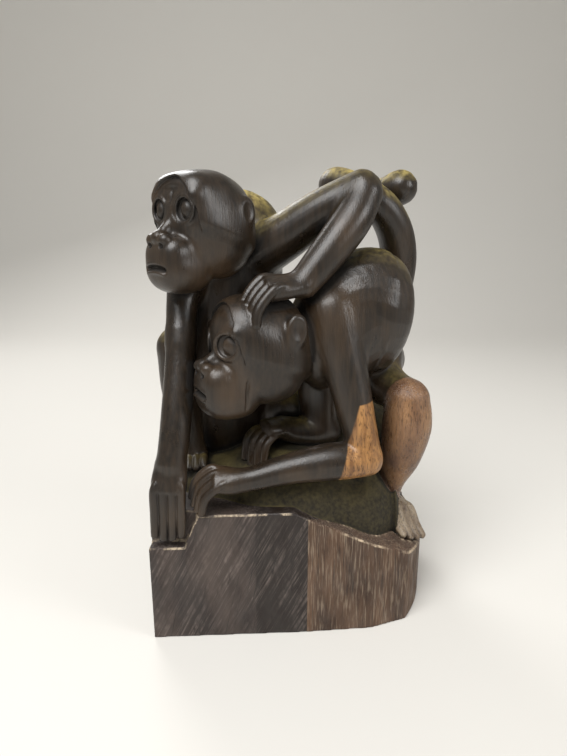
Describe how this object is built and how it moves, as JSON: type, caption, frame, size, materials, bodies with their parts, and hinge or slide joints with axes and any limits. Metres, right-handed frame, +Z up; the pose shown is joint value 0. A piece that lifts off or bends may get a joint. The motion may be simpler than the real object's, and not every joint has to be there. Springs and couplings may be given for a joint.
{
  "type": "carved wooden monkey figurine",
  "caption": "Dark hardwood ornament: a seated monkey rests a hand on the head of a crouching one, carved with their block base from a single piece of wood.",
  "frame": {"origin": "middle of the carving's bounding box, on the face that it stands on", "axes": "+Z up, +X to the right along the front of the base, +Y to its back; the front of the carving faces -Y"},
  "size_m": [0.1792, 0.1244, 0.2883],
  "materials": {
    "heartwood": "polished dark heartwood of ebony, hand carved and waxed",
    "sapwood": "polished pale sapwood with dark flecks",
    "bark_edge": "rough split sapwood under the bark, worn and unpolished",
    "dusty_ground": "matt chiselled heartwood with old yellow dust in it"
  },
  "bodies": {
    "root": {"base_heartwood": "heartwood", "upper_torso": "heartwood", "lower_torso": "heartwood", "upper_head": "heartwood", "lower_head": "heartwood", "lower_right_thigh": "heartwood", "lower_left_thigh": "heartwood", "upper_right_thigh": "heartwood", "upper_left_thigh": "heartwood", "lower_right_shin": "heartwood", "upper_right_shin": "heartwood", "upper_left_upper_arm": "heartwood", "upper_right_upper_arm": "heartwood", "lower_left_upper_arm": "heartwood", "lower_right_upper_arm": "heartwood", "upper_left_forearm": "heartwood", "upper_right_forearm": "heartwood", "lower_right_forearm": "heartwood", "lower_left_forearm": "heartwood", "lower_tail": "heartwood", "lower_tail_curl": "heartwood", "upper_tail": "heartwood", "upper_left_hand": "heartwood", "upper_right_hand": "heartwood", "lower_left_hand": "heartwood", "lower_right_hand": "heartwood", "lower_right_foot": "heartwood", "upper_right_foot": "heartwood", "upper_left_ear": "heartwood", "upper_right_ear": "heartwood", "lower_left_ear": "heartwood", "lower_right_ear": "heartwood", "lower_left_shin": "sapwood", "lower_left_foot": "sapwood", "base_sapwood": "bark_edge", "carved_ground": "dusty_ground"}
  },
  "joints": []
}
